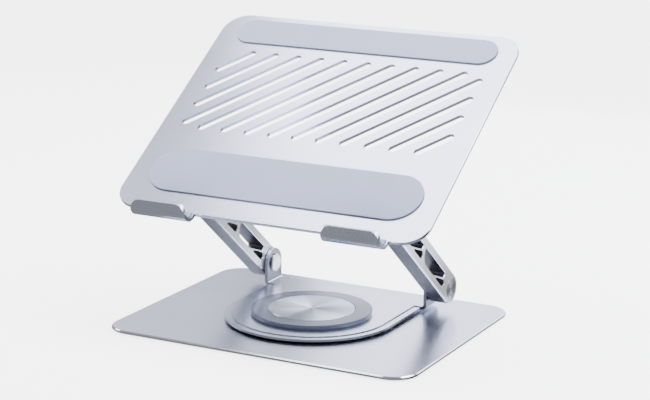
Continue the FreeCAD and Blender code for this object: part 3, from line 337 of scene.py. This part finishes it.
def round_ended_strip(low, high, edge, top=True, turns=64):
    """A flat strip with round ends between two corners, its top or bottom rim rounded."""
    size = high - low
    radius = size.y / 2
    edit = bmesh.new()
    bmesh.ops.create_circle(edit, cap_ends=True, segments=turns, radius=radius,
                            matrix=Matrix.Rotation(math.pi / turns, 4, "Z"))
    for side in (-1, 1):
        half = [vert for vert in edit.verts if vert.co.x * side > 0]
        bmesh.ops.translate(edit, verts=half, vec=(side * (size.x / 2 - radius), 0, 0))
    raised = bmesh.ops.extrude_face_region(edit, geom=edit.faces[:])
    lifted = [item for item in raised["geom"] if isinstance(item, bmesh.types.BMVert)]
    bmesh.ops.translate(edit, verts=lifted, vec=(0, 0, size.z))
    level = size.z if top else 0
    rim = [item for item in edit.edges if all(abs(vert.co.z - level) < TOUCHING for vert in item.verts)]
    bevel_edges(edit, rim, edge)
    bmesh.ops.translate(edit, verts=edit.verts[:], vec=((low.x + high.x) / 2, (low.y + high.y) / 2, low.z))
    bmesh.ops.recalc_face_normals(edit, faces=edit.faces[:])
    return edit


def turned(profile, turns=128):
    """A solid turned about Z from a closed outline given as (radius, height)."""
    edit = bmesh.new()
    points = [edit.verts.new((radius, 0, height)) for radius, height in profile]
    lines = [edit.edges.new(pair) for pair in zip(points, points[1:])]
    if profile[0][0] > 0:
        lines.append(edit.edges.new((points[-1], points[0])))
    bmesh.ops.spin(edit, geom=points + lines, cent=(0, 0, 0), axis=UP, angle=2 * math.pi,
                   steps=turns, use_merge=True, use_duplicate=False)
    bmesh.ops.remove_doubles(edit, verts=edit.verts[:], dist=TOUCHING)
    bmesh.ops.recalc_face_normals(edit, faces=edit.faces[:])
    return edit


FOOT_LONG = 44 * MM
FOOT_WIDE = 14 * MM
FOOT_EDGE = 0.35 * MM
base_silicone = moulded_silicone("moulded_silicone_base", SILICONE, SILICONE_DARK)
feet_low, feet_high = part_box("base_feet")
feet_edit = bmesh.new()
for side in (-1, 1):
    for end in (-1, 1):
        outer_x = side * feet_high.x
        inner_x = side * (feet_high.x - FOOT_LONG)
        outer_y = end * feet_high.y
        inner_y = end * (feet_high.y - FOOT_WIDE)
        foot = round_ended_strip(
            Vector((min(outer_x, inner_x), min(outer_y, inner_y), feet_low.z)),
            Vector((max(outer_x, inner_x), max(outer_y, inner_y), feet_high.z)), FOOT_EDGE, top=False)
        foot_mesh = bpy.data.meshes.new("foot")
        foot.to_mesh(foot_mesh)
        foot.free()
        feet_edit.from_mesh(foot_mesh)
new_piece("base_feet_moulded", feet_edit, base_silicone, "base", ["base_feet"])

# The centre pad grips the table with shallow grooves, one inside the other.
GRIP_RINGS = 5
GRIP_PITCH = 4.5 * MM
GRIP_WIDE = 1.2 * MM
GRIP_DEEP = 0.4 * MM
GRIP_SLOPE = 0.2
pad_low, pad_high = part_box("base_centre_pad")
pad_radius = pad_high.x
profile = [(0, pad_high.z), (pad_radius, pad_high.z), (pad_radius, pad_low.z + FOOT_EDGE),
           (pad_radius - FOOT_EDGE, pad_low.z)]
for ring in range(GRIP_RINGS):
    start = pad_radius - (ring + 1) * GRIP_PITCH
    groove_top = pad_low.z + GRIP_DEEP
    profile += [(start + GRIP_WIDE, pad_low.z), (start + GRIP_WIDE * (1 - GRIP_SLOPE), groove_top),
                (start + GRIP_WIDE * GRIP_SLOPE, groove_top), (start, pad_low.z)]
profile.append((0, pad_low.z))
new_piece("base_centre_pad_moulded", turned(profile), base_silicone,
          "base", ["base_centre_pad"])

# ---------------------------------------------------------------- thrust bearing
# Two hardened steel washers with a ground ball groove, bright steel balls and a pressed brass cage.
# Ground steel is darker and sharper than the blasted aluminium, and brass is warm and dull.
GRINDING_PITCH = 0.5 * MM
GRINDING_DEPTH = 0.003 * MM
GRINDING_SWING = 0.06


def ground_metal(name, light, dark, roughness, pitch=GRINDING_PITCH):
    """Metal with fine uneven lines, lighter and duller by turns, left by grinding or drawing."""
    material, shader, coordinates = new_material(name, Metallic=1.0)
    place = coordinates.outputs["Object"]
    lines = add_node(material, "ShaderNodeTexNoise", None, {
        "Vector": place, "Scale": 1 / pitch, "Detail": 3.0, "Distortion": 0.4})
    tone = add_node(material, "ShaderNodeMix", {"data_type": "RGBA"}, {
        "Factor": lines.outputs["Fac"], 6: from_hex(dark), 7: from_hex(light)})
    gloss = add_node(material, "ShaderNodeMapRange", None, {
        "Value": lines.outputs["Fac"],
        "To Min": roughness - GRINDING_SWING, "To Max": roughness + GRINDING_SWING})
    scratch = add_node(material, "ShaderNodeBump", None, {
        "Height": lines.outputs["Fac"], "Distance": GRINDING_DEPTH})
    join(material, tone.outputs[2], shader, "Base Color")
    join(material, gloss.outputs["Result"], shader, "Roughness")
    join(material, scratch.outputs["Normal"], shader, "Normal")
    return material


bearing_steel = ground_metal("ground_bearing_steel", "C9CACC", "B4B5B8", 0.18)
finish_nodes(bearing_steel, "bearing_lower_race", "bearing_upper_race", "bearing_balls")
finish_nodes(ground_metal("pressed_brass", "C9A663", "B08D4A", 0.34), "ball_cage")

# ---------------------------------------------------------------- housing, bush and pivot
# A cap turned from aluminium bar and left as machined, an acetal bush pressed in its middle, and a
# zinc-plated bolt, spring washer and nut that hold the turntable down on the bearing. The small screws,
# nuts and spring washers of the hinges have the same pale zinc, and their friction washers are acetal.
finish_nodes(ground_metal("turned_aluminium", "D9DBDE", "C6C8CC", 0.3), "bearing_housing")
zinc_steel = ground_metal("zinc_plated_steel", "C3C7CC", "A9AEB5", 0.3, pitch=0.8 * MM)
finish_nodes(zinc_steel, "pivot_bolt", "pivot_spring_washer", "pivot_nut", "housing_screws",
             "lower_spring_washers", "upper_spring_washers", "lower_lock_nuts", "upper_lock_nuts",
             "bracket_screws")
# Acetal is nearly black and a little waxy, with faint flow marks that change its gloss.
ACETAL_FLOW = 2 * MM
acetal, acetal_shader, acetal_coordinates = new_material(
    "black_acetal", IOR=1.48, Subsurface_Weight=0.1, Subsurface_Scale=1 * MM)
acetal_flow = add_node(acetal, "ShaderNodeTexNoise", None, {
    "Vector": acetal_coordinates.outputs["Object"], "Scale": 1 / ACETAL_FLOW, "Detail": 2.0})
acetal_tone = add_node(acetal, "ShaderNodeMix", {"data_type": "RGBA"}, {
    "Factor": acetal_flow.outputs["Fac"], 6: from_hex("2B2C30"), 7: from_hex("36373B")})
acetal_matt = add_node(acetal, "ShaderNodeMapRange", None, {
    "Value": acetal_flow.outputs["Fac"], "To Min": 0.3, "To Max": 0.45})
join(acetal, acetal_tone.outputs[2], acetal_shader, "Base Color")
join(acetal, acetal_matt.outputs["Result"], acetal_shader, "Roughness")
finish_nodes(acetal, "pivot_bush", "lower_friction_washers", "upper_friction_washers")

# ---------------------------------------------------------------- turntable platform
# The same blasted and anodised sheet, milled down round its edge to a narrow ledge, with two ears bent
# up for the arms. It and the brackets under the tray have the satin skin, walls that face left and right
# darkened with painted shade, and no polished rim.
sheet_skin = anodised_aluminium("blasted_anodised_sheet", 0.25, painted_sides="7E8087")
finish_nodes(sheet_skin, "turntable_platform", "hinge_bracket_left", "hinge_bracket_right")

# ---------------------------------------------------------------- turntable ring
# A moulded silicone ring, stretched over the housing's flange: its shoulder is rounded and its wall draws
# in a little to the foot. It is darker and smoother than the feet, so its top has a soft gleam.
RING_SHOULDER = 0.8 * MM
RING_DRAFT = 0.5 * MM
RING_FLANGE = 47.0 * MM
RING_FLANGE_THICK = 2.0 * MM
RING_LIP = 0.3 * MM
RING_GAP = 0.2 * MM
FINE_TURNS = 192
ring_low, ring_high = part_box("turntable_ring")
disc_low, disc_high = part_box("turntable_disc")
ring_outer = ring_high.x
ring_inner = disc_high.x + RING_GAP
over_flange = ring_low.z + RING_FLANGE_THICK
ring_edit = turned([
    (ring_inner, over_flange),
    (ring_inner, ring_high.z - RING_LIP),
    (ring_inner + RING_LIP, ring_high.z),
    (ring_outer - RING_DRAFT / 2, ring_high.z),
    (ring_outer, ring_high.z - RING_SHOULDER),
    (ring_outer - RING_DRAFT, ring_low.z + RING_LIP),
    (ring_outer - RING_DRAFT - RING_LIP, ring_low.z),
    (RING_FLANGE, ring_low.z),
    (RING_FLANGE, over_flange),
], turns=FINE_TURNS)


def on_circle(edit, radius, height):
    """The edges of one turned circle."""
    return [edge for edge in edit.edges
            if all(abs(vert.co.xy.length - radius) < TOUCHING and abs(vert.co.z - height) < TOUCHING
                   for vert in edge.verts)]


bevel_edges(ring_edit, on_circle(ring_edit, ring_outer - RING_DRAFT / 2, ring_high.z), RING_LIP)
bevel_edges(ring_edit, on_circle(ring_edit, ring_outer, ring_high.z - RING_SHOULDER), RING_LIP)
new_piece("turntable_ring_moulded", ring_edit,
          moulded_silicone("moulded_silicone_ring", "727890", "6A7088", 0.2),
          "turntable", ["turntable_ring"])

# ---------------------------------------------------------------- turntable disc
# Aluminium disc, faced on a lathe and clear anodised, set inside the ring. The tool leaves fine rings
# that draw its highlights out, and a painted sheen and painted shade lie over it as pale and dark wedges
# that meet in the middle. Its rim is chamfered.
TURNING_PITCH = 0.5 * MM
TURNING_DEPTH = 0.002 * MM
TURNING_GLOSS = 0.22
TURNING_STRETCH = 0.92
STRETCH_TURN = 0.25
UNEVEN_FEED = 4 * MM
RING_TONE = 0.3
PAINTED_SHEEN_SOFTNESS = 0.9
WAVE_PERIOD = math.pi / 10
DISC_PAINTED_SHEEN_WEDGES = 4
DISC_PAINTED_SHEEN_START = 0.8
DISC_CHAMFER = 0.35 * MM
DISC_DIMPLE = 0.6 * MM


def turned_aluminium(name, light, dark, centre, axis, painted_sheen_wedges, start):
    """Lathe-turned face about a centre on an axis: fine rings that draw the highlights out, and a painted
    sheen over them: pale and dark sectors of painted sheen and shade, so many of them, turned by an angle."""
    material, shader, coordinates = new_material(
        name, Metallic=1.0, Anisotropic=TURNING_STRETCH, Anisotropic_Rotation=STRETCH_TURN)
    turn = Matrix.Rotation(math.pi / 2 if axis == "X" else 0, 3, "Y")
    centred = add_node(material, "ShaderNodeMapping", None, {
        "Vector": coordinates.outputs["Object"], "Rotation": turn.to_euler(),
        "Location": -(turn @ Vector(centre))})
    rings = add_node(material, "ShaderNodeTexWave", {
        "wave_type": "RINGS", "rings_direction": "Z"}, {
        "Vector": centred.outputs["Vector"], "Scale": WAVE_PERIOD / TURNING_PITCH,
        "Distortion": 0.6, "Detail": 1.0})
    # Painted sheen and shade: pale and dark wedges round the centre, fixed on the part.
    heading = add_node(material, "ShaderNodeTexGradient", {"gradient_type": "RADIAL"}, {
        "Vector": centred.outputs["Vector"]})
    swing = add_node(material, "ShaderNodeMath", {"operation": "MULTIPLY_ADD"}, {
        0: heading.outputs["Fac"], 1: 2 * math.pi * painted_sheen_wedges, 2: start})
    painted_sheen_wave = add_node(material, "ShaderNodeMath", {"operation": "SINE"}, {0: swing.outputs[0]})
    painted_sheen_fan = add_node(material, "ShaderNodeMapRange", {"interpolation_type": "SMOOTHSTEP"}, {
        "Value": painted_sheen_wave.outputs[0], "From Min": -PAINTED_SHEEN_SOFTNESS, "From Max": PAINTED_SHEEN_SOFTNESS})
    uneven = add_node(material, "ShaderNodeTexNoise", None, {
        "Vector": centred.outputs["Vector"], "Scale": 1 / UNEVEN_FEED, "Detail": 2.0})
    share = add_node(material, "ShaderNodeMath", {"operation": "MULTIPLY"}, {
        0: rings.outputs["Fac"], 1: uneven.outputs["Fac"]})
    both = add_node(material, "ShaderNodeMath", {"operation": "MULTIPLY_ADD"}, {
        0: share.outputs[0], 1: RING_TONE, 2: painted_sheen_fan.outputs["Result"]})
    tone = add_node(material, "ShaderNodeMix", {"data_type": "RGBA"}, {
        "Factor": both.outputs[0], 6: from_hex(light), 7: from_hex(dark)})
    gloss = add_node(material, "ShaderNodeMapRange", None, {
        "Value": rings.outputs["Fac"], "To Min": TURNING_GLOSS - SATIN_SWING,
        "To Max": TURNING_GLOSS + SATIN_SWING})
    around = add_node(material, "ShaderNodeTangent", {"direction_type": "RADIAL", "axis": axis})
    grooves = add_node(material, "ShaderNodeBump", None, {
        "Height": rings.outputs["Fac"], "Distance": TURNING_DEPTH})
    join(material, tone.outputs[2], shader, "Base Color")
    join(material, gloss.outputs["Result"], shader, "Roughness")
    join(material, around.outputs["Tangent"], shader, "Tangent")
    join(material, grooves.outputs["Normal"], shader, "Normal")
    return material


disc_radius = disc_high.x
disc_edit = turned([
    (0, disc_high.z - DISC_DIMPLE / 4),
    (DISC_DIMPLE, disc_high.z),
    (disc_radius - DISC_CHAMFER, disc_high.z),
    (disc_radius, disc_high.z - DISC_CHAMFER),
    (disc_radius, disc_low.z),
    (0, disc_low.z),
], turns=FINE_TURNS)
new_piece("turntable_disc_turned", disc_edit,
          turned_aluminium("turned_anodised_disc", "CFD7E4", "A3ACBA", (0, 0, 0), "Z",
                           DISC_PAINTED_SHEEN_WEDGES, DISC_PAINTED_SHEEN_START),
          "turntable", ["turntable_disc"])

# ---------------------------------------------------------------- hinge pins
# Turned stainless pins, pressed into the ears from inside, with a low polished head: a flat face, a
# rounded rim and a dark line where the rim tucks under. The polish leaves only faint broad lines.
PIN_RADIUS = 4.0 * MM
PIN_POINT = 0.35 * MM
HEAD_RIM = 0.7 * MM
HEAD_LONG = {"lower": 2.1 * MM, "upper": 2.05 * MM}
PIN_TURNS = 96
polished_steel = ground_metal("polished_stainless", "E3E4E7", "D5D6DA", 0.16, pitch=1.5 * MM)


def upright_to_side(side, place):
    """Turns a piece made along +Z so that it points to one side, and puts it in place."""
    return Matrix.Translation(place) @ Matrix.Rotation(side * math.pi / 2, 4, "Y")


SIDES = (("left", -1), ("right", 1))
for level, body in (("lower", "turntable"), ("upper", "pins")):
    for word, side in SIDES:
        low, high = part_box(f"{level}_pin_{word}")
        head_radius = (high.z - low.z) / 2
        long = high.x - low.x
        inner_x = low.x if side > 0 else high.x
        head_long = HEAD_LONG[level]
        pin_edit = turned([
            (0, 0),
            (head_radius - HEAD_RIM, 0),
            (head_radius, HEAD_RIM),
            (head_radius, head_long - HEAD_RIM / 3),
            (head_radius - HEAD_RIM / 3, head_long),
            (PIN_RADIUS, head_long),
            (PIN_RADIUS, long - PIN_POINT),
            (PIN_RADIUS - PIN_POINT, long),
            (0, long),
        ], turns=PIN_TURNS)
        bevel_edges(pin_edit, on_circle(pin_edit, head_radius - HEAD_RIM, 0), HEAD_RIM / 3)
        bevel_edges(pin_edit, on_circle(pin_edit, head_radius, HEAD_RIM), HEAD_RIM / 3)
        centre = Vector((inner_x, (low.y + high.y) / 2, (low.z + high.z) / 2))
        bmesh.ops.transform(pin_edit, matrix=upright_to_side(side, centre), verts=pin_edit.verts[:])
        new_piece(f"{level}_pin_{word}_turned", pin_edit, polished_steel, body,
                  [f"{level}_pin_{word}"])

# ---------------------------------------------------------------- arms
# Two bars milled from aluminium plate, blasted with a coarser grit than the sheets and anodised, then
# chamfered bright round the outline and the windows. Their flat sides carry a pale painted light, and
# their edges, under faces and window walls a dark grey painted shade.
arm_skin = anodised_aluminium("blasted_anodised_arm", 0.36, light="A2A4A9", dark="8A8B90",
                              grit=0.8 * MM, depth=0.02 * MM, faces=(1.0, 0.0, 0.0), painted_sides="ECEDF0")
finish_nodes(arm_skin, "left_arm", "right_arm")

# ---------------------------------------------------------------- arm caps
# Four thin aluminium discs, turned and anodised like the one on the turntable, pushed into the arms over
# the lock nuts. Each has a small chamfer and a painted highlight, a pale streak, across its face.
CAP_CHAMFER = 0.25 * MM
CAP_PAINTED_SHEEN_WEDGES = 2
CAP_PAINTED_SHEEN_START = -math.pi / 2
for level in ("lower", "upper"):
    for word, side in SIDES:
        low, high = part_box(f"{level}_cap_{word}")
        cap_radius = (high.z - low.z) / 2
        thick = high.x - low.x
        inner_x = low.x if side > 0 else high.x
        cap_edit = turned([
            (0, 0),
            (cap_radius, 0),
            (cap_radius, thick - CAP_CHAMFER),
            (cap_radius - CAP_CHAMFER, thick),
            (0, thick),
        ], turns=PIN_TURNS)
        centre = Vector((inner_x, (low.y + high.y) / 2, (low.z + high.z) / 2))
        bmesh.ops.transform(cap_edit, matrix=upright_to_side(side, centre), verts=cap_edit.verts[:])
        cap_skin = turned_aluminium(f"turned_anodised_cap_{level}_{word}", "F6F7FA", "B4B9C4", centre, "X",
                                    CAP_PAINTED_SHEEN_WEDGES, CAP_PAINTED_SHEEN_START)
        new_piece(f"{level}_cap_{word}_turned", cap_edit, cap_skin, "arms",
                  [f"{level}_cap_{word}"])

# ---------------------------------------------------------------- tray plate
# Blasted and anodised sheet with slanted slots and two hooks bent up from its front edge, screwed to the
# two hinge brackets. Its rim is diamond cut all round, but the hooks' lips are rounded and blasted like
# the faces, because a hand meets them there.
TRAY_TILT = math.radians(33.3)
TRAY_FRONT = 44.4 * MM
RIM_MARGIN = 0.1 * MM
_, hinge_y, hinge_z = joints["tray_tilt"]["pos_m"]
tray_place = Matrix.Translation((0, hinge_y, hinge_z)) @ Matrix.Rotation(TRAY_TILT, 4, "X")
tray_back = (tray_place.to_3x3() @ Vector((0, 1, 0))).normalized()
tray_face = (tray_place.to_3x3() @ Vector((0, 0, 1))).normalized()
rim_start = (tray_place @ Vector((0, -TRAY_FRONT - RIM_MARGIN, 0))).dot(tray_back)
# The tray's walls that face left and right, the hooks' ends among them, are darkened with painted shade.
tray_skin = anodised_aluminium("blasted_anodised_tray", 0.27, depth=0.002 * MM, faces=tuple(tray_face),
                               beyond=(tuple(tray_back), rim_start), painted_sides="74767C")
HOOK_START = 1.4 * MM
HOOK_LIP = 0.6 * MM
LIP_SEGMENTS = 3
FLAT = math.radians(0.5)
SHARP = math.radians(30)


def merged_copy(name):
    """A bmesh of a CAD node with its doubled points joined and its stored normals dropped."""
    plain = nodes[name].data.copy()
    stored = plain.attributes.get("custom_normal")
    if stored:
        plain.attributes.remove(stored)
    edit = bmesh.new()
    edit.from_mesh(plain)
    bmesh.ops.remove_doubles(edit, verts=edit.verts[:], dist=TOUCHING)
    return edit


def is_sharp(edge):
    """Whether two faces meet at an edge with a clear corner."""
    return len(edge.link_faces) == 2 and edge.calc_face_angle() > SHARP


tray_edit = merged_copy("tray_plate")
hook_root = (tray_place @ Vector((0, -TRAY_FRONT - HOOK_START, 0))).dot(tray_back)
hook_edges = [edge for edge in tray_edit.edges
              if all(vert.co.dot(tray_back) < hook_root - TOUCHING for vert in edge.verts)]
hook_verts = list({vert for edge in hook_edges for vert in edge.verts})
bmesh.ops.dissolve_limit(tray_edit, angle_limit=FLAT, verts=hook_verts, edges=hook_edges)
lips = [edge for edge in tray_edit.edges
        if is_sharp(edge) and all(vert.co.dot(tray_back) < hook_root for vert in edge.verts)]
bevel_edges(tray_edit, lips, HOOK_LIP, segments=LIP_SEGMENTS)
new_piece("tray_plate_cut", tray_edit, tray_skin, "tray", ["tray_plate"])

# ---------------------------------------------------------------- tray pads
# Two thin silicone pads with round ends, glued on the tray so that a laptop neither slides nor gets
# scratched. The top edge is rounded, and the wall is darkened with painted shade, so it shows as a dark
# line.
PAD_EDGE = 0.45 * MM
PAD_WALL_SHADE = "6A6E80"
PAD_TURNS = 128
pad_silicone = moulded_silicone("moulded_silicone_pads", SILICONE, SILICONE_DARK,
                                faces=tuple(tray_face), painted_wall=PAD_WALL_SHADE)


def box_on_tray(name):
    """Lowest and highest corner of a CAD node, measured along the tilted tray."""
    back = tray_place.inverted()
    corners = [back @ vert.co for vert in nodes[name].data.vertices]
    return (Vector([min(corner[axis] for corner in corners) for axis in range(3)]),
            Vector([max(corner[axis] for corner in corners) for axis in range(3)]))


for name in ("tray_lower_pad", "tray_upper_pad"):
    low, high = box_on_tray(name)
    pad_edit = round_ended_strip(low, high, PAD_EDGE, turns=PAD_TURNS)
    bmesh.ops.transform(pad_edit, matrix=tray_place, verts=pad_edit.verts[:])
    new_piece(f"{name}_moulded", pad_edit, pad_silicone, "tray", [name])

# ---------------------------------------------------------------- hook linings
# A thin silicone pad glued inside each hook, where the laptop's front edge rests. It is the same silicone
# as the tray's pads, and its rim is rounded.
LINING_EDGE = 0.25 * MM
LINING_SEGMENTS = 2
for name in ("hook_pad_left", "hook_pad_right"):
    lining_edit = merged_copy(name)
    lining_rim = [edge for edge in lining_edit.edges if is_sharp(edge)]
    bevel_edges(lining_edit, lining_rim, LINING_EDGE, segments=LINING_SEGMENTS)
    new_piece(f"{name}_moulded", lining_edit, pad_silicone, "tray", [name])
